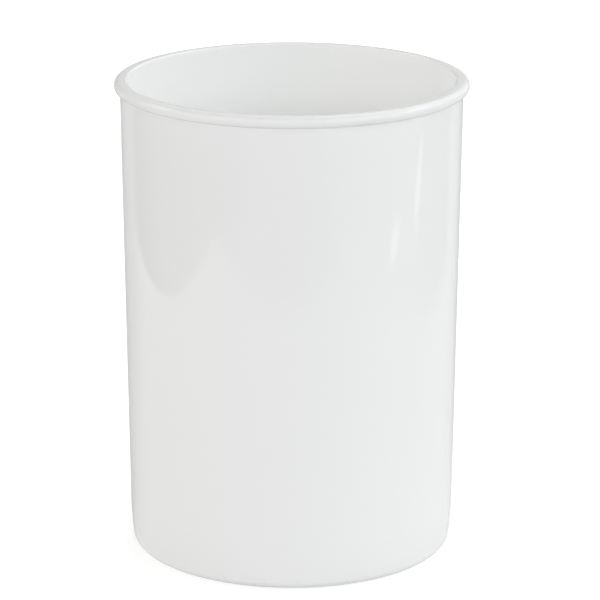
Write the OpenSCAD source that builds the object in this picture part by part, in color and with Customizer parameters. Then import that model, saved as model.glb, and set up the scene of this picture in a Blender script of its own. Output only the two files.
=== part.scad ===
// Round wastebasket: one tapered, glossy moulded shell with a half-round bead at its rim,
// standing on four rubber pads that are bonded into pockets in its foot ring.
// Millimetres. +Z is up. The origin is on the floor, at the centre of the base.

/* [Shell] */
// Outside diameter, measured over the rim bead
rim_d = 200; // [170:5:240]
// Height from the floor to the top of the rim
height = 273; // [220:1:330]
// Thickness of the side wall
wall_t = 4; // [3:0.25:5]
// Thickness of the bottom, over the recess
floor_t = 4.5; // [3:0.25:6]
// Lean of the side wall from vertical, in degrees
draft = 0.8; // [0.5:0.1:2]

/* [Rim] */
// Radius of the half-round bead outside the wall
bead_r = 3.3; // [2:0.1:4.5]
// Radius of the fillet where the bead meets the wall
neck_r = 0.8; // [0.4:0.1:1.5]
// Radius of the rounded inner edge
lip_r = 1.2; // [0.6:0.1:1.8]

/* [Heel] */
// Radius of the long curve that tucks the bottom of the wall in
tuck_r = 190; // [120:5:220]
// Angle that the wall turns through along that curve, in degrees
tuck_angle = 6; // [2:0.5:7]
// Radius of the outer corner between wall and foot
heel_r = 5; // [4:0.5:8]
// Radius of the inner corner between wall and floor
corner_r = 10; // [8:0.5:18]

/* [Foot] */
// Width of the ring that the basket's weight passes through
ring_w = 14; // [12:0.5:20]
// Depth of the recess inside the ring
recess_h = 1.5; // [1:0.25:3]
// Diameter of each rubber pad
pad_d = 10; // [8:0.5:11]
// Thickness of each rubber pad
pad_t = 2; // [1.5:0.25:3]
// How far the pads stand proud of the ring
pad_proud = 0.6; // [0.5:0.1:1.2]

/* [Hidden] */

$fn = 240;
ARC_STEP = 6; // degrees between points on a profile arc
PAD_CLEARANCE = 0.1; // gap round a pad in its pocket
PAD_EDGE = 0.4; // chamfer round a pad's lower edge
PAD_TURN = 45; // azimuth of the first pad, from +X towards +Y

bead_centre = [rim_d / 2 - bead_r, height - bead_r];
floor_z = pad_proud + recess_h + floor_t;

// Outside radius of the straight wall at height z. The line passes through the bead's centre.
function wall_r(z) = bead_centre.x - (bead_centre.y - z) * tan(draft);

// Inside radius of the wall at height z.
function bore_r(z) = wall_r(z) - wall_t / cos(draft);

// Points on an arc from one angle to the other, in degrees, ends included.
function arc(centre, r, from, to) =
    let (steps = max(2, ceil(abs(to - from) / ARC_STEP)))
    [for (i = [0:steps])
        let (a = from + (to - from) * i / steps)
        centre + r * [cos(a), sin(a)]];

// The heel is a tight corner that runs on into the long tuck curve and then the straight wall.
tuck_end = draft + tuck_angle;
tuck_top_z = pad_proud + heel_r * (1 - sin(tuck_end)) + tuck_r * (sin(tuck_end) - sin(draft));
heel_centre = [
    wall_r(tuck_top_z) - tuck_r * (cos(draft) - cos(tuck_end)) - heel_r * cos(tuck_end),
    pad_proud + heel_r,
];
tuck_centre = heel_centre - (tuck_r - heel_r) * [cos(tuck_end), -sin(tuck_end)];

// The neck fillet touches the wall on one side and the bead on the other.
neck_drop = sqrt(pow(bead_r + neck_r, 2) - pow(neck_r, 2));
neck_centre = bead_centre
    + neck_r * [cos(draft), -sin(draft)]
    - neck_drop * [sin(draft), cos(draft)];
neck_angle = atan2(neck_centre.y - bead_centre.y, neck_centre.x - bead_centre.x);

lip_centre = [bore_r(height - lip_r) + lip_r / cos(draft), height - lip_r];
corner_centre = [bore_r(floor_z + corner_r) - corner_r / cos(draft), floor_z + corner_r];

ring_outer_r = heel_centre.x;
ring_inner_r = ring_outer_r - ring_w;
pad_circle_r = (ring_outer_r + ring_inner_r) / 2;

// Half of the shell's section, with the axis at x = 0: up the outside, over the rim, down the inside.
module shell_section() {
    polygon(concat(
        [[0, pad_proud + recess_h], [ring_inner_r - recess_h, pad_proud + recess_h]],
        [[ring_inner_r, pad_proud]],
        arc(heel_centre, heel_r, -90, -tuck_end),
        arc(tuck_centre, tuck_r, -tuck_end, -draft),
        arc(neck_centre, neck_r, 180 - draft, 180 + neck_angle),
        arc(bead_centre, bead_r, neck_angle, 90),
        arc(lip_centre, lip_r, 90, 180 - draft),
        arc(corner_centre, corner_r, -draft, -90),
        [[0, floor_z]]
    ));
}

// Places its child at one of the four pad positions on the foot ring.
module at_pad(index) {
    rotate([0, 0, PAD_TURN + 90 * index])
        translate([pad_circle_r, 0, 0])
            children();
}

module basket_shell() {
    color("whitesmoke")
        difference() {
            rotate_extrude() shell_section();
            for (index = [0:3])
                at_pad(index) cylinder(d = pad_d + 2 * PAD_CLEARANCE, h = pad_t);
        }
}

module foot_pad(index) {
    color("slategray")
        at_pad(index) {
            cylinder(d1 = pad_d - 2 * PAD_EDGE, d2 = pad_d, h = PAD_EDGE);
            translate([0, 0, PAD_EDGE])
                cylinder(d = pad_d, h = pad_t - PAD_EDGE);
        }
}

basket_shell();
foot_pad(0);  // foot_pad_back_right
foot_pad(1);  // foot_pad_back_left
foot_pad(2);  // foot_pad_front_left
foot_pad(3);  // foot_pad_front_right
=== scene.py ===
"""Looks for the round wastebasket: one glossy moulded shell standing on four rubber pads.

Everything is in metres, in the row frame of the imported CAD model: +Z up, origin on the floor
under the basket's axis, front towards -Y.
"""

import math

import bmesh
import bpy
from mathutils import Matrix, Vector, noise


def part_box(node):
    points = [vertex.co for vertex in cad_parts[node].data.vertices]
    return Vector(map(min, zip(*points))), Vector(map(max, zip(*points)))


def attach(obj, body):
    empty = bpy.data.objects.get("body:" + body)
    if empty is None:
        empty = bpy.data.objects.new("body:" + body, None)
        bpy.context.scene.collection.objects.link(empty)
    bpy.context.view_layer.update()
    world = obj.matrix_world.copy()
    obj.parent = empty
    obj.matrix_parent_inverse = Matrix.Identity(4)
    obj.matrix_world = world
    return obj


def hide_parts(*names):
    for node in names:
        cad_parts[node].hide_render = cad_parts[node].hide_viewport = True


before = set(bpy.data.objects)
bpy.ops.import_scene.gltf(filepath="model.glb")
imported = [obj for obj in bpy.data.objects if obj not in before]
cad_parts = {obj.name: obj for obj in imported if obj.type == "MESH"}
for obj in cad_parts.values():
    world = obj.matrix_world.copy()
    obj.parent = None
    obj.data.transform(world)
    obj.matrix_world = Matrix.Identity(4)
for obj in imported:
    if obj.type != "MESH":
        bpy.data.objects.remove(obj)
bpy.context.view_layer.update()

MM = 0.001

# ---------------------------------------------------------------------------------------------
# Dimensions. What the CAD boxes give is read from them, and the rest repeats part.scad.
# ---------------------------------------------------------------------------------------------

shell_lo, shell_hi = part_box("basket_shell")
RIM_R = min(shell_hi.x, shell_hi.y, -shell_lo.x, -shell_lo.y)
TOP_Z = shell_hi.z
RING_Z = shell_lo.z

PADS = ["foot_pad_front_right", "foot_pad_back_right", "foot_pad_back_left", "foot_pad_front_left"]
pad_lo, pad_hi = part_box(PADS[0])
PAD_R = (pad_hi.x - pad_lo.x) / 2
PAD_TOP_Z = pad_hi.z

DRAFT = math.radians(0.8)
TUCK = math.radians(6.0)
WALL_T = 4.0 * MM
FLOOR_T = 4.5 * MM
BEAD_R = 3.3 * MM
NECK_R = 0.8 * MM
LIP_R = 1.2 * MM
TUCK_R = 190.0 * MM
HEEL_R = 5.0 * MM
CORNER_R = 10.0 * MM
RING_W = 14.0 * MM
RECESS_H = 1.5 * MM
POCKET_GAP = 0.1 * MM

# Details that only the looks have.
RECESS_EDGE_R = 0.5 * MM
# Gate mark at the centre of the underside, a clipped stub in a shallow round dimple: radius and
# height above the recess, in millimetres.
GATE_STUB = ((0.0, -0.15), (0.9, -0.15), (1.2, -0.05), (1.4, 0.3))
GATE_DIMPLE = ((5.6, 0.3), (6.0, 0.22), (6.4, 0.05), (6.8, 0.0))
RIPPLE_DEPTH = 0.05 * MM  # largest inward ripple that cooling leaves in the wall
RIPPLE_SIZE = 75 * MM  # distance between ripples
RIPPLE_SQUASH = 0.6  # height counts for less, so that ripples are longer upwards
RIPPLE_FROM_R = 60 * MM  # nearer to the axis the shell is even
PAD_SIDE_GAP = 0.02 * MM
SOLE_EDGE_R = 0.4 * MM
PAD_TOP_EDGE_R = 0.1 * MM
GROOVE_STARTS = (1.6 * MM, 3.1 * MM)
GROOVE_W = 0.6 * MM
GROOVE_DEPTH = 0.3 * MM
GROOVE_TIP_R = 0.1 * MM
GROOVE_EDGE_H = 0.08 * MM

SHELL_SEGMENTS = 288
PAD_SEGMENTS = 64
POCKET_SEGMENTS = 72
SHELL_SHARP = 35  # edges above this many degrees stay sharp
PAD_SHARP = 50
CUTTER_START_Z = -1 * MM

# ---------------------------------------------------------------------------------------------
# Mesh helpers
# ---------------------------------------------------------------------------------------------


def arc(centre, r, start, end, steps):
    """Points (radius, height) on an arc of the profile, ends included. Angles in radians."""
    out = []
    for i in range(steps + 1):
        a = start + (end - start) * i / steps
        out.append((centre[0] + r * math.cos(a), centre[1] + r * math.sin(a)))
    return out


def line(start, end, steps):
    """Points strictly between two profile points, evenly spaced."""
    return [
        (
            start[0] + (end[0] - start[0]) * i / steps,
            start[1] + (end[1] - start[1]) * i / steps,
        )
        for i in range(1, steps)
    ]


def link_mesh(name, bm):
    """Turns a finished bmesh into an object in the scene."""
    mesh = bpy.data.meshes.new(name)
    bm.to_mesh(mesh)
    bm.free()
    obj = bpy.data.objects.new(name, mesh)
    bpy.context.scene.collection.objects.link(obj)
    return obj


def lathe(name, profile, segments, wobble=None):
    """A closed surface of revolution. The first and last profile points lie on the axis."""
    bm = bmesh.new()
    rings = []
    for r, z in profile:
        if r < 1e-9:
            rings.append([bm.verts.new((0, 0, z))])
            continue
        ring = []
        for i in range(segments):
            a = 2 * math.pi * i / segments
            rr = r + (wobble(a, r, z) if wobble else 0.0)
            ring.append(bm.verts.new((rr * math.cos(a), rr * math.sin(a), z)))
        rings.append(ring)
    for low, high in zip(rings, rings[1:]):
        for i in range(segments):
            j = (i + 1) % segments
            if len(low) == 1:
                bm.faces.new((low[0], high[j], high[i]))
            elif len(high) == 1:
                bm.faces.new((low[i], low[j], high[0]))
            else:
                bm.faces.new((low[i], low[j], high[j], high[i]))
    bmesh.ops.recalc_face_normals(bm, faces=bm.faces)
    return link_mesh(name, bm)


def disc_cutter(name, centres, r, z0, z1):
    """Upright discs as one object, for cutting the pad pockets."""
    bm = bmesh.new()
    for x, y in centres:
        place = Matrix.Translation((x, y, (z0 + z1) / 2))
        bmesh.ops.create_cone(
            bm,
            cap_ends=True,
            segments=POCKET_SEGMENTS,
            radius1=r,
            radius2=r,
            depth=z1 - z0,
            matrix=place,
        )
    return link_mesh(name, bm)


def subtract(obj, cutter):
    """Cuts one mesh object out of another and deletes the cutter."""
    mod = obj.modifiers.new("cut", "BOOLEAN")
    mod.operation = "DIFFERENCE"
    mod.solver = "EXACT"
    mod.object = cutter
    bpy.context.view_layer.update()
    graph = bpy.context.evaluated_depsgraph_get()
    cut = bpy.data.meshes.new_from_object(obj.evaluated_get(graph))
    obj.modifiers.remove(mod)
    old = obj.data
    obj.data = cut
    cut.name = obj.name
    bpy.data.meshes.remove(old)
    bpy.data.objects.remove(cutter)


def smooth(obj, sharp_deg):
    """Smooth shading, with edges above the angle kept sharp."""
    mesh = obj.data
    mesh.polygons.foreach_set("use_smooth", [True] * len(mesh.polygons))
    mesh.set_sharp_from_angle(angle=math.radians(sharp_deg))
    mesh.update()


# ---------------------------------------------------------------------------------------------
# Shell
# ---------------------------------------------------------------------------------------------

# Centres of the round stretches of the half section, as (radius, height).
BEAD = (RIM_R - BEAD_R, TOP_Z - BEAD_R)
TUCK_END = DRAFT + TUCK  # lean of the wall where the tuck meets the heel


def wall_r(z):
    """Radius of the outer wall above the tuck."""
    return BEAD[0] - (BEAD[1] - z) * math.tan(DRAFT)


def bore_r(z):
    """Radius of the inner wall."""
    return wall_r(z) - WALL_T / math.cos(DRAFT)


def heel_centre():
    tuck_top = RING_Z + HEEL_R * (1 - math.sin(TUCK_END))
    tuck_top += TUCK_R * (math.sin(TUCK_END) - math.sin(DRAFT))
    drawn_in = TUCK_R * (math.cos(DRAFT) - math.cos(TUCK_END))
    return (wall_r(tuck_top) - drawn_in - HEEL_R * math.cos(TUCK_END), RING_Z + HEEL_R)


HEEL = heel_centre()
RING_IN_R = HEEL[0] - RING_W


def underside():
    """From the axis over the gate mark and the recess to the foot ring's inner edge."""
    ceiling = RING_Z + RECESS_H
    stub, dimple = ([(r * MM, ceiling + h * MM) for r, h in part] for part in (GATE_STUB, GATE_DIMPLE))
    pts = stub + line(stub[-1], dimple[0], 4) + dimple
    recess_end = RING_IN_R - RECESS_H - RECESS_EDGE_R
    top_edge = (recess_end, ceiling - RECESS_EDGE_R)
    low_edge = (RING_IN_R + RECESS_EDGE_R * 0.4, RING_Z + RECESS_EDGE_R)
    pts += line(dimple[-1], (recess_end, ceiling), 14)
    pts += arc(top_edge, RECESS_EDGE_R, math.radians(90), math.radians(45), 3)
    pts += arc(low_edge, RECESS_EDGE_R, math.radians(225), math.radians(270), 3)
    return pts


def outside():
    """From the foot ring over heel, tuck, wall and neck to the top of the bead."""
    reach = TUCK_R - HEEL_R
    tuck = (HEEL[0] - reach * math.cos(TUCK_END), HEEL[1] + reach * math.sin(TUCK_END))
    drop = math.sqrt((BEAD_R + NECK_R) ** 2 - NECK_R**2)
    neck = (
        BEAD[0] + NECK_R * math.cos(DRAFT) - drop * math.sin(DRAFT),
        BEAD[1] - NECK_R * math.sin(DRAFT) - drop * math.cos(DRAFT),
    )
    neck_angle = math.atan2(neck[1] - BEAD[1], neck[0] - BEAD[0])
    pts = arc(HEEL, HEEL_R, -math.pi / 2, -TUCK_END, 14)
    pts += arc(tuck, TUCK_R, -TUCK_END, -DRAFT, 12)[1:]
    neck_arc = arc(neck, NECK_R, math.pi - DRAFT, math.pi + neck_angle, 8)
    pts += line(pts[-1], neck_arc[0], 48) + neck_arc
    pts += arc(BEAD, BEAD_R, neck_angle, math.pi / 2, 28)[1:]
    return pts


def inside():
    """From the rolled inner lip down the bore and round the corner to the axis."""
    floor_z = RING_Z + RECESS_H + FLOOR_T
    lip = (bore_r(TOP_Z - LIP_R) + LIP_R / math.cos(DRAFT), TOP_Z - LIP_R)
    corner = (bore_r(floor_z + CORNER_R) - CORNER_R / math.cos(DRAFT), floor_z + CORNER_R)
    pts = arc(lip, LIP_R, math.pi / 2, math.pi - DRAFT, 10)
    corner_arc = arc(corner, CORNER_R, -DRAFT, -math.pi / 2, 14)
    pts += line(pts[-1], corner_arc[0], 48) + corner_arc
    pts += line(pts[-1], (0.0, floor_z), 14) + [(0.0, floor_z)]
    return pts


def shell_profile():
    """The shell's half section, from the axis round the outside to the axis on the inside floor."""
    pts = underside()
    pts += line(pts[-1], (HEEL[0], RING_Z), 4) + outside()
    lip_and_bore = inside()
    return pts + line(pts[-1], lip_and_bore[0], 4) + lip_and_bore


def cooling_ripple(angle, r, z):
    """Small inward unevenness of the moulded wall, never outward."""
    if r < RIPPLE_FROM_R:
        return 0.0
    p = Vector((r * math.cos(angle), r * math.sin(angle), z * RIPPLE_SQUASH)) / RIPPLE_SIZE
    return -RIPPLE_DEPTH * (0.5 + 0.5 * noise.noise(p))


def centre_of(node):
    """Centre of a CAD node's box, seen from above."""
    lo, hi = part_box(node)
    return ((lo.x + hi.x) / 2, (lo.y + hi.y) / 2)


pad_centres = {node: centre_of(node) for node in PADS}
shell = lathe("shell", shell_profile(), SHELL_SEGMENTS, cooling_ripple)
POCKET_R = PAD_R + POCKET_GAP
pockets = disc_cutter("pockets", pad_centres.values(), POCKET_R, CUTTER_START_Z, PAD_TOP_Z)
subtract(shell, pockets)
smooth(shell, SHELL_SHARP)
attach(shell, "root")
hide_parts("basket_shell")

# ---------------------------------------------------------------------------------------------
# Pads
# ---------------------------------------------------------------------------------------------


def groove(start):
    """A rounded groove in the sole, from its inner to its outer edge."""
    middle = start + GROOVE_W / 2
    aside = GROOVE_W / 4
    tip = (middle, GROOVE_DEPTH - GROOVE_TIP_R)
    pts = [(start, 0.0), (middle - aside, GROOVE_EDGE_H)]
    pts += arc(tip, GROOVE_TIP_R, math.pi, 0.0, 4)
    pts += [(middle + aside, GROOVE_EDGE_H), (start + GROOVE_W, 0.0)]
    return pts


def pad_profile():
    """Half section of a pad: a rounded disc with grooves in its sole."""
    r = PAD_R - PAD_SIDE_GAP
    top_edge = (r - PAD_TOP_EDGE_R, PAD_TOP_Z - PAD_TOP_EDGE_R)
    pts = [(0.0, 0.0)]
    for start in GROOVE_STARTS:
        pts += line(pts[-1], (start, 0.0), 3) + groove(start)
    pts += arc((r - SOLE_EDGE_R, SOLE_EDGE_R), SOLE_EDGE_R, -math.pi / 2, 0.0, 8)
    pts += line(pts[-1], (r, top_edge[1]), 3)
    pts += arc(top_edge, PAD_TOP_EDGE_R, 0.0, math.pi / 2, 3)
    pts += line(pts[-1], (0.0, PAD_TOP_Z), 3) + [(0.0, PAD_TOP_Z)]
    return pts


def rubber_pad(node):
    """The pad that stands for one CAD pad."""
    pad = lathe(node.replace("foot_pad", "rubber_pad"), pad_profile(), PAD_SEGMENTS)
    pad.data.transform(Matrix.Translation((*pad_centres[node], 0)))
    smooth(pad, PAD_SHARP)
    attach(pad, "root")
    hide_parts(node)
    return pad


pads = [rubber_pad(node) for node in PADS]

# ---------------------------------------------------------------------------------------------
# Materials
# ---------------------------------------------------------------------------------------------


class Nodes:
    """A small helper that adds shader nodes and links them."""

    def __init__(self, tree):
        self.tree = tree
        tree.nodes.clear()

    def add(self, kind, links=None, **settings):
        """Adds a node. A setting is a property or the value of an input, and links join the rest."""
        node = self.tree.nodes.new(kind)
        for key, value in settings.items():
            if hasattr(node, key) and key not in node.inputs:
                setattr(node, key, value)
            else:
                node.inputs[key].default_value = value
        for key, source in (links or {}).items():
            self.tree.links.new(source, node.inputs[key])
        return node

    def math(self, op, a, b=0.0):
        node = self.add("ShaderNodeMath", operation=op)
        self._into(node.inputs[0], a)
        self._into(node.inputs[1], b)
        return node.outputs[0]

    def ramp(self, value, low, high, out_low=0.0, out_high=1.0):
        """Runs smoothly from out_low at low to out_high at high, and stays level beyond both."""
        node = self.add("ShaderNodeMapRange", {"Value": value}, interpolation_type="SMOOTHSTEP")
        ends = {"From Min": low, "From Max": high, "To Min": out_low, "To Max": out_high}
        for key, v in ends.items():
            node.inputs[key].default_value = v
        return node.outputs["Result"]

    def noise(self, vector, scale, detail=2.0, roughness=0.5):
        """Noise between 0 and 1, with the scale in cells per metre."""
        settings = {"Scale": scale, "Detail": detail, "Roughness": roughness}
        node = self.add("ShaderNodeTexNoise", {"Vector": vector}, **settings)
        return node.outputs["Fac"]

    def mix(self, factor, a, b):
        """Colour or brightness a where the factor is 0, and b where it is 1."""
        node = self.add("ShaderNodeMix", data_type="RGBA")
        self._into(node.inputs[0], factor)
        self._into(node.inputs[6], a)
        self._into(node.inputs[7], b)
        return node.outputs[2]

    def scaled(self, vector, factors):
        """A vector with each of its parts multiplied by a number."""
        node = self.add("ShaderNodeVectorMath", {0: vector}, operation="MULTIPLY")
        node.inputs[1].default_value = factors
        return node.outputs[0]

    def length(self, vector):
        return self.add("ShaderNodeVectorMath", {0: vector}, operation="LENGTH").outputs["Value"]

    def towards(self, ray, way):
        """Dot product of a shader ray with a fixed direction."""
        node = self.add("ShaderNodeVectorMath", {0: ray}, operation="DOT_PRODUCT")
        node.inputs[1].default_value = way
        return node.outputs["Value"]

    def _into(self, socket, v):
        """Gives an input a number, a colour or a link."""
        if isinstance(v, (int, float)):
            socket.default_value = (v, v, v, 1.0) if socket.type == "RGBA" else v
        elif isinstance(v, tuple):
            socket.default_value = (*v, 1.0)
        else:
            self.link(v, socket)

    def link(self, a, b):
        self.tree.links.new(a, b)

    def surface(self, shader):
        """Ends the material in a shader."""
        out = self.add("ShaderNodeOutputMaterial")
        self.link(shader, out.inputs["Surface"])

    def principled(self, base, rough, bump):
        """Ends the material in a plastic or rubber surface."""
        links = {"Base Color": base, "Roughness": rough, "Normal": bump.outputs["Normal"]}
        shader = self.add("ShaderNodeBsdfPrincipled", links, IOR=1.5)
        self.surface(shader.outputs["BSDF"])


def new_material(name):
    mat = bpy.data.materials.new(name)
    mat.use_nodes = True
    return mat, Nodes(mat.node_tree)


PLASTIC_DARKEST = (0.886, 0.890, 0.883)
PLASTIC_PALEST = (0.899, 0.903, 0.896)
PLASTIC_ROUGHNESS = 0.022
SMUDGE_ROUGHNESS = 0.012
# What the hairlines and the marks of use add to the roughness and to the relief.
ROUGHNESS_OF = {"hair": 0.010, "scuff": 0.8, "rub": 0.06}
RELIEF_OF = {"hair": 0.04, "scuff": 2.0}
RELIEF_H = 0.004 * MM
HAIR_ALONG = (1.0, 1.0, 0.02)  # draws the noise out upwards
SCUFF_COLOUR = (0.50, 0.50, 0.49)
SCUFF_STRENGTH = 0.35
SCUFF_TOP_Z = 9 * MM
RUB_COLOUR = (0.70, 0.69, 0.66)
RUB_STRENGTH = 0.10
RUB_DEPTH = (6 * MM, 1 * MM)  # below the top, where rub marks begin and where they are full
# Painted light: a paler colour in the crease under the bead fills its shade, standing in for light
# scattered inside the plastic.
CREASE_PAINTED_LIGHT_COLOUR = (0.99, 0.99, 0.98)
CREASE_Z = TOP_Z - 2.1 * BEAD_R
# How far below and above its middle the painted light in the crease begins and is full.
CREASE_BELOW = (1.3 * MM, 0.2 * MM)
CREASE_ABOVE = (3.0 * MM, 0.6 * MM)
OUTSIDE_R = RIM_R - 5 * MM  # between the bore and the outer wall, near the rim


def foot_scuffs(n, coord, height):
    """Fine scuffs that gather near the foot."""
    near_foot = n.ramp(height, 0.0, SCUFF_TOP_Z, 1.0, 0.0)
    scuff = n.ramp(n.noise(coord, scale=260.0, detail=4.0, roughness=0.65), low=0.56, high=0.72)
    return n.math("MULTIPLY", n.math("MULTIPLY", near_foot, scuff), SCUFF_STRENGTH)


def rim_rub(n, coord, height):
    """Fine dull marks where hands and bags rub the bead and the rim."""
    on_rim = n.ramp(height, TOP_Z - RUB_DEPTH[0], TOP_Z - RUB_DEPTH[1])
    rub = n.ramp(n.noise(coord, scale=75.0, detail=5.0, roughness=0.7), low=0.54, high=0.70)
    return n.math("MULTIPLY", on_rim, rub)


def crease_painted_light(n, coord, height):
    """Mask for the painted light that fills the shade of the tight crease under the bead, on the
    outside only.
    """
    radius = n.length(n.scaled(coord, (1.0, 1.0, 0.0)))
    below = n.ramp(height, CREASE_Z - CREASE_BELOW[0], CREASE_Z - CREASE_BELOW[1])
    above = n.ramp(height, CREASE_Z + CREASE_ABOVE[1], CREASE_Z + CREASE_ABOVE[0], 1.0, 0.0)
    outer = n.math("GREATER_THAN", radius, OUTSIDE_R)
    return n.math("MULTIPLY", n.math("MULTIPLY", below, above), outer)


def gloss_plastic():
    """Polished white moulded plastic."""
    mat, n = new_material("shell_plastic")
    coord = n.add("ShaderNodeTexCoord").outputs["Object"]
    height = n.add("ShaderNodeSeparateXYZ", {"Vector": coord}).outputs["Z"]
    hairlines = n.noise(n.scaled(coord, HAIR_ALONG), scale=900.0)
    marks = {
        "hair": n.ramp(hairlines, low=0.62, high=0.80),
        "scuff": foot_scuffs(n, coord, height),
        "rub": rim_rub(n, coord, height),
    }

    # Colour: a faint cloudiness of the pigment and the marks of use. The crease gets painted light, a
    # paler colour that stands in for light that scatters inside the white plastic and fills its shade.
    base = n.mix(n.noise(coord, scale=14.0, detail=3.0), PLASTIC_DARKEST, PLASTIC_PALEST)
    base = n.mix(marks["scuff"], base, SCUFF_COLOUR)
    base = n.mix(n.math("MULTIPLY", marks["rub"], RUB_STRENGTH), base, RUB_COLOUR)
    base = n.mix(crease_painted_light(n, coord, height), base, CREASE_PAINTED_LIGHT_COLOUR)

    # Roughness: smudges, hairlines along the draw direction and the marks of use.
    smudge = n.noise(coord, scale=22.0, detail=5.0, roughness=0.6)
    rough = n.math("ADD", PLASTIC_ROUGHNESS, n.ramp(smudge, 0.45, 0.75, 0.0, SMUDGE_ROUGHNESS))
    for name, amount in ROUGHNESS_OF.items():
        rough = n.math("ADD", rough, n.math("MULTIPLY", marks[name], amount))

    # Relief: the polish's slight orange peel, the hairlines and the scuffs.
    relief = n.noise(coord, scale=110.0)
    for name, amount in RELIEF_OF.items():
        relief = n.math("ADD", relief, n.math("MULTIPLY", marks[name], amount))
    bump = n.add("ShaderNodeBump", {"Height": relief}, Strength=1.0, Distance=RELIEF_H)
    n.principled(base, rough, bump)
    return mat


RUBBER_DARKEST = (0.045, 0.048, 0.055)
RUBBER_PALEST = (0.075, 0.078, 0.085)
RUBBER_ROUGHNESS = (0.62, 0.82)
GRAIN_H = 0.04 * MM
DUST_COLOUR = (0.20, 0.20, 0.19)
DUST_STRENGTH = 0.5


def pad_rubber():
    """Dark grey rubber with a fine matt texture and dust in it."""
    mat, n = new_material("pad_rubber")
    coord = n.add("ShaderNodeTexCoord").outputs["Object"]
    grain = n.noise(coord, scale=2600.0, detail=3.0, roughness=0.6)
    patch = n.noise(coord, scale=320.0, detail=3.0)
    base = n.mix(patch, RUBBER_DARKEST, RUBBER_PALEST)
    base = n.mix(n.ramp(grain, 0.60, 0.80, 0.0, DUST_STRENGTH), base, DUST_COLOUR)
    rough = n.ramp(patch, 0.3, 0.7, *RUBBER_ROUGHNESS)
    bump = n.add("ShaderNodeBump", {"Height": grain}, Strength=0.6, Distance=GRAIN_H)
    n.principled(base, rough, bump)
    return mat


def assign(obj, mat):
    obj.data.materials.clear()
    obj.data.materials.append(mat)


assign(shell, gloss_plastic())
rubber = pad_rubber()
for pad in pads:
    assign(pad, rubber)

# ---------------------------------------------------------------------------------------------
# Floor: a pale table top. Only reflections show where it ends and what lies beyond.
# ---------------------------------------------------------------------------------------------

FLOOR_HALF = 15.0
# To the camera, and to light that bounces: how white the floor is, and the glow it adds, which
# evens out the basket's shadow.
FLOOR_WHITE = (0.90, 0.16)
FLOOR_GLOW = (0.35, 0.46)

# Brightness of the table, of the shaded part of the sweep, and of the room beyond the table.
TABLE_LEVEL = 0.88
SWEEP_SHADE_LEVEL = 0.55
ROOM_LEFT_LEVEL = 0.04
ROOM_FRONT_LEVEL = 0.32
ROOM_RIGHT_LEVEL = 0.72
ROOM_BACK_SHARE = 0.62  # how much of this is left further back
ROOM_SHADE_SHARE = 0.5  # how much of the sweep's shade falls on the room too

# Edges of the table. Behind, it runs on into a white sweep, which begins along a slanting line.
TABLE_FRONT = 0.606
TABLE_SKEW = 0.144  # the front edge comes nearer towards the left
TABLE_LEFT = 0.597
TABLE_RIGHT = 0.535
SWEEP_START = -0.124
SWEEP_SLOPE = 0.96

# Where the room's brightness changes: in x from left to front and from front to right, and in y.
ROOM_LEFT_TO_FRONT = (-TABLE_LEFT, -0.35)
ROOM_FRONT_TO_RIGHT = (0.10, 0.45)
ROOM_FRONT_TO_BACK = (-0.15, 0.10)

# The sweep is shaded straight behind the basket, and sooner on the left. Slopes, seen from a point
# a little in front of the axis: where the shade begins and where it is full.
SHADE_POINT_Y = -0.08
SHADE_LEFT = (0.42, 1.05)
SHADE_RIGHT = (0.2, 2.3)
SHADE_MIN_ASIDE = 0.01  # keeps the slope finite straight behind

# Two long lamps in the room on the right: middle, half length, half width, turn and radiance.
ROOM_LAMPS = (
    ((0.91, 0.01, 0.0), 0.18, 0.045, math.radians(21), 1.20),
    ((0.70, -0.258, 0.0), 0.085, 0.045, math.radians(15), 1.30),
)
LAMP_CORE = 0.55  # the part of a lamp, from its middle, that has its full radiance


def sheet(name, corners, mat):
    """A flat stage panel."""
    mesh = bpy.data.meshes.new(name)
    mesh.from_pydata(corners, [], [tuple(range(len(corners)))])
    mesh.materials.append(mat)
    obj = bpy.data.objects.new(name, mesh)
    bpy.context.scene.collection.objects.link(obj)
    return obj


def sweep_shade(n, x, y):
    """How much the sweep behind the basket is shaded, 0 to 1."""
    aside = n.math("ADD", n.math("ABSOLUTE", x), SHADE_MIN_ASIDE)
    slope = n.math("DIVIDE", n.math("SUBTRACT", y, SHADE_POINT_Y), aside)
    left = n.math("MULTIPLY", n.math("LESS_THAN", x, 0.0), n.ramp(slope, *SHADE_LEFT))
    return n.math("MAXIMUM", left, n.ramp(slope, *SHADE_RIGHT))


def beyond_table(n, x, y):
    """1 where a point of the floor lies past the table's left, right or front edge, else 0."""
    off = n.math("GREATER_THAN", x, TABLE_RIGHT)
    off = n.math("MAXIMUM", off, n.math("LESS_THAN", x, -TABLE_LEFT))
    front = n.math("SUBTRACT", n.math("MULTIPLY", x, -TABLE_SKEW), TABLE_FRONT)
    off = n.math("MAXIMUM", off, n.math("LESS_THAN", y, front))
    aside = n.math("MULTIPLY", n.math("ABSOLUTE", x), SWEEP_SLOPE)
    sweep = n.math("ADD", aside, SWEEP_START)
    return n.math("MULTIPLY", off, n.math("LESS_THAN", y, sweep))


def room_level(n, x, y):
    """Brightness of the room beyond the table: dark on the left, bright on the right."""
    room = n.ramp(x, *ROOM_LEFT_TO_FRONT, ROOM_LEFT_LEVEL, ROOM_FRONT_LEVEL)
    room = n.math("MAXIMUM", room, n.ramp(x, *ROOM_FRONT_TO_RIGHT, 0.0, ROOM_RIGHT_LEVEL))
    return n.math("MULTIPLY", room, n.ramp(y, *ROOM_FRONT_TO_BACK, 1.0, ROOM_BACK_SHARE))


def lamp_level(n, position, middle, half_length, half_width, turn, radiance):
    """Light of one long lamp at a point of the floor."""
    spot = n.add(
        "ShaderNodeMapping",
        {"Vector": position},
        vector_type="TEXTURE",
        Location=middle,
        Rotation=(0.0, 0.0, turn),
        Scale=(half_length, half_width, 1.0),
    )
    return n.ramp(n.length(spot.outputs[0]), LAMP_CORE, 1.0, radiance, 0.0)


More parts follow.
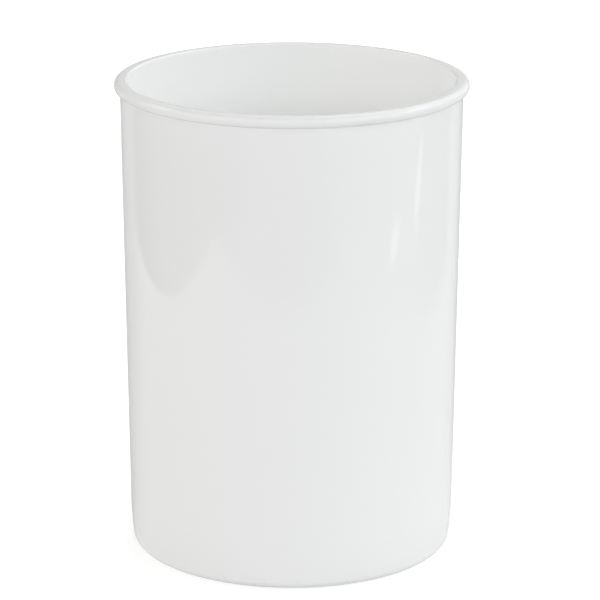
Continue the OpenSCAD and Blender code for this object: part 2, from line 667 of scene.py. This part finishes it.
def reflected_level(n, position):
    """What reflections see where the floor is: table, sweep, room and lamps."""
    place = n.add("ShaderNodeSeparateXYZ", {"Vector": position}).outputs
    x, y = place["X"], place["Y"]
    shade = sweep_shade(n, x, y)
    unshaded = n.math("SUBTRACT", 1.0, n.math("MULTIPLY", shade, ROOM_SHADE_SHARE))
    off = n.math("MULTIPLY", beyond_table(n, x, y), unshaded)
    level = n.mix(off, n.mix(shade, TABLE_LEVEL, SWEEP_SHADE_LEVEL), room_level(n, x, y))
    for lamp in ROOM_LAMPS:
        level = n.math("ADD", level, lamp_level(n, position, *lamp))
    return level


def floor_material():
    """Matt white. The camera sees it without end, and reflections see the table and the room round
    it. Other light bounces off it more weakly, as off a grey floor. From below it is clear."""
    mat, n = new_material("floor")
    path = n.add("ShaderNodeLightPath")
    to_camera = path.outputs["Is Camera Ray"]
    reflected = path.outputs["Is Glossy Ray"]
    geometry = n.add("ShaderNodeNewGeometry")
    seen = reflected_level(n, geometry.outputs["Position"])

    white = n.mix(reflected, n.mix(to_camera, FLOOR_WHITE[1], FLOOR_WHITE[0]), 0.0)
    shine = n.mix(reflected, n.mix(to_camera, FLOOR_GLOW[1], FLOOR_GLOW[0]), seen)
    diffuse = n.add("ShaderNodeBsdfDiffuse", {"Color": white})
    extra = n.add("ShaderNodeEmission", {"Strength": shine})
    lit = n.add("ShaderNodeAddShader", {0: diffuse.outputs[0], 1: extra.outputs[0]})
    clear = n.add("ShaderNodeBsdfTransparent")
    both = n.add("ShaderNodeMixShader")
    n.link(geometry.outputs["Backfacing"], both.inputs[0])
    n.link(lit.outputs[0], both.inputs[1])
    n.link(clear.outputs[0], both.inputs[2])
    n.surface(both.outputs[0])
    return mat


AROUND = ((-1, -1), (1, -1), (1, 1), (-1, 1))  # the corners of a square, in turn
sheet("floor", [(i * FLOOR_HALF, j * FLOOR_HALF, 0) for i, j in AROUND], floor_material())

# ---------------------------------------------------------------------------------------------
# Light
# ---------------------------------------------------------------------------------------------

SOFTBOX_DISTANCE = 2.2
# name: azimuth, elevation, width and height in degrees, radiance
SOFTBOXES = {
    "softbox_right_front": (47, 34, 24, 26, 1.35),
    "softbox_right": (96, 31, 20, 12, 4.4),
    "softbox_left": (-102, 27, 14, 16, 2.6),
    "softbox_left_front": (-46, 15, 14, 28, 1.6),
}


def direction(azimuth, elevation):
    """Unit vector. Azimuth 0 points at the camera's side (-Y), 90 at +X."""
    a, e = math.radians(azimuth), math.radians(elevation)
    return Vector((math.sin(a) * math.cos(e), -math.cos(a) * math.cos(e), math.sin(e)))


def sine(degrees):
    return math.sin(math.radians(degrees))


def glow(name, radiance):
    mat, n = new_material(name)
    light = n.add("ShaderNodeEmission", Color=(1.0, 1.0, 1.0, 1.0), Strength=radiance)
    n.surface(light.outputs[0])
    return mat


def softbox(name, azimuth, elevation, width_deg, height_deg, radiance):
    """A glowing panel that faces the basket. Its size is given as the angle it fills."""
    out = direction(azimuth, elevation)
    side = Vector((0, 0, 1)).cross(out).normalized()
    up = out.cross(side).normalized()
    centre = out * SOFTBOX_DISTANCE + Vector((0, 0, TOP_Z))
    w = SOFTBOX_DISTANCE * math.tan(math.radians(width_deg / 2))
    h = SOFTBOX_DISTANCE * math.tan(math.radians(height_deg / 2))
    corners = [centre + side * (w * i) + up * (h * j) for i, j in AROUND]
    obj = sheet(name, corners, glow(name, radiance))
    obj.visible_camera = False


for softbox_name, shape in SOFTBOXES.items():
    softbox(softbox_name, *shape)

# Room light: a soft ring that stands low round the table, strongest at the front right, with a high
# soft patch behind on the right, a band below it behind on the left, and nothing overhead. Angles
# in degrees.
RING_LOW = (8, 13)  # elevations where the ring begins
RING_HIGH = (40, 48)  # and where it ends
RING_STRONGEST = 40  # azimuth
RING_RADIANCE = (2.00, 1.60)  # at its low edge and at its high edge
RING_SWING = 0.29  # change round the ring, as a part of that
PATCH_AT = (140, 48)  # azimuth and elevation
PATCH_EDGE = (34, 18)  # from its centre, where it begins and where it is full
PATCH_RADIANCE = 0.95
BAND_AZIMUTH = -145
BAND_EDGE = (-0.1, 0.5)  # cosines of the angle from its middle, where it begins and where it is full
BAND_RADIANCE = 0.85
# Reflections see no more light than this: round the front, and round a middle behind on the left.
CAP_RADIANCE = (0.9, 0.4)
CAP_AZIMUTH = -150
CAP_EDGE = (0.55, 0.88)  # cosines of the angle from that middle, where the change begins and ends
CAMERA_WHITE = 1.1
COOLEST_AZIMUTH = 80  # the light is warmest opposite
COOL = (0.965, 0.99, 1.015)
WARM = (1.0, 0.985, 0.955)


def room_light(n, ray):
    """Radiance of the ring, the patch and the band in a direction."""
    up = n.add("ShaderNodeSeparateXYZ", {"Vector": ray}).outputs["Z"]
    low = n.ramp(up, sine(RING_LOW[0]), sine(RING_LOW[1]), 1.0, 0.0)
    top = n.ramp(up, sine(RING_HIGH[0]), sine(RING_HIGH[1]))
    ring = n.math("SUBTRACT", n.math("SUBTRACT", 1.0, low), top)
    fade = n.ramp(up, sine(RING_LOW[1]), sine(RING_HIGH[0]), *RING_RADIANCE)
    swing = n.math("MULTIPLY", n.towards(ray, direction(RING_STRONGEST, 0)), RING_SWING)
    ring = n.math("MULTIPLY", n.math("MULTIPLY", ring, fade), n.math("ADD", 1.0, swing))
    edge, full = (math.cos(math.radians(v)) for v in PATCH_EDGE)
    patch = n.ramp(n.towards(ray, direction(*PATCH_AT)), edge, full, 0.0, PATCH_RADIANCE)
    band = n.ramp(n.towards(ray, direction(BAND_AZIMUTH, 0)), *BAND_EDGE, 0.0, BAND_RADIANCE)
    return n.math("ADD", n.math("ADD", ring, patch), n.math("MULTIPLY", band, low))


def studio_world():
    world = bpy.data.worlds.new("studio")
    world.use_nodes = True
    n = Nodes(world.node_tree)
    ray = n.add("ShaderNodeTexCoord").outputs["Generated"]
    path = n.add("ShaderNodeLightPath")
    level = room_light(n, ray)
    cap = n.ramp(n.towards(ray, direction(CAP_AZIMUTH, 0)), *CAP_EDGE, *CAP_RADIANCE)
    level = n.mix(path.outputs["Is Glossy Ray"], level, n.math("MINIMUM", level, cap))
    backdrop = n.math("MULTIPLY", path.outputs["Is Camera Ray"], CAMERA_WHITE)
    level = n.math("MAXIMUM", level, backdrop)
    tint = n.ramp(n.towards(ray, direction(COOLEST_AZIMUTH, 0)), -1.0, 1.0)
    sky = n.add("ShaderNodeBackground", {"Strength": level, "Color": n.mix(tint, WARM, COOL)})
    out = n.add("ShaderNodeOutputWorld")
    n.link(sky.outputs[0], out.inputs["Surface"])
    return world


scene = bpy.context.scene
scene.world = studio_world()
scene.view_settings.view_transform = "Standard"
scene.view_settings.look = "None"
# Light bounces about inside the white basket.
scene.cycles.diffuse_bounces = 10
scene.cycles.glossy_bounces = 12
scene.cycles.max_bounces = 14

# ---------------------------------------------------------------------------------------------
# Camera: a long lens, a little above the rim, looking down at the front
# ---------------------------------------------------------------------------------------------

CAM_BACK = 1.8004
CAM_HEIGHT = 0.6692
CAM_PITCH = math.radians(16.30)
CAM_ROLL = 0.00123
CAM_LENS = 196.34
CAM_SENSOR = 36.0
CAM_SHIFT = 0.01417
CAM_SEES_TO = 60.0

cam = bpy.data.objects.new("camera", bpy.data.cameras.new("camera"))
bpy.context.scene.collection.objects.link(cam)
cam.data.lens = CAM_LENS
cam.data.sensor_width = CAM_SENSOR
cam.data.shift_x = CAM_SHIFT
cam.data.clip_end = CAM_SEES_TO
cam.matrix_world = (
    Matrix.Translation((0, -CAM_BACK, CAM_HEIGHT))
    @ Matrix.Rotation(math.pi / 2 - CAM_PITCH, 4, "X")
    @ Matrix.Rotation(CAM_ROLL, 4, "Z")
)
scene.camera = cam

bpy.context.view_layer.update()
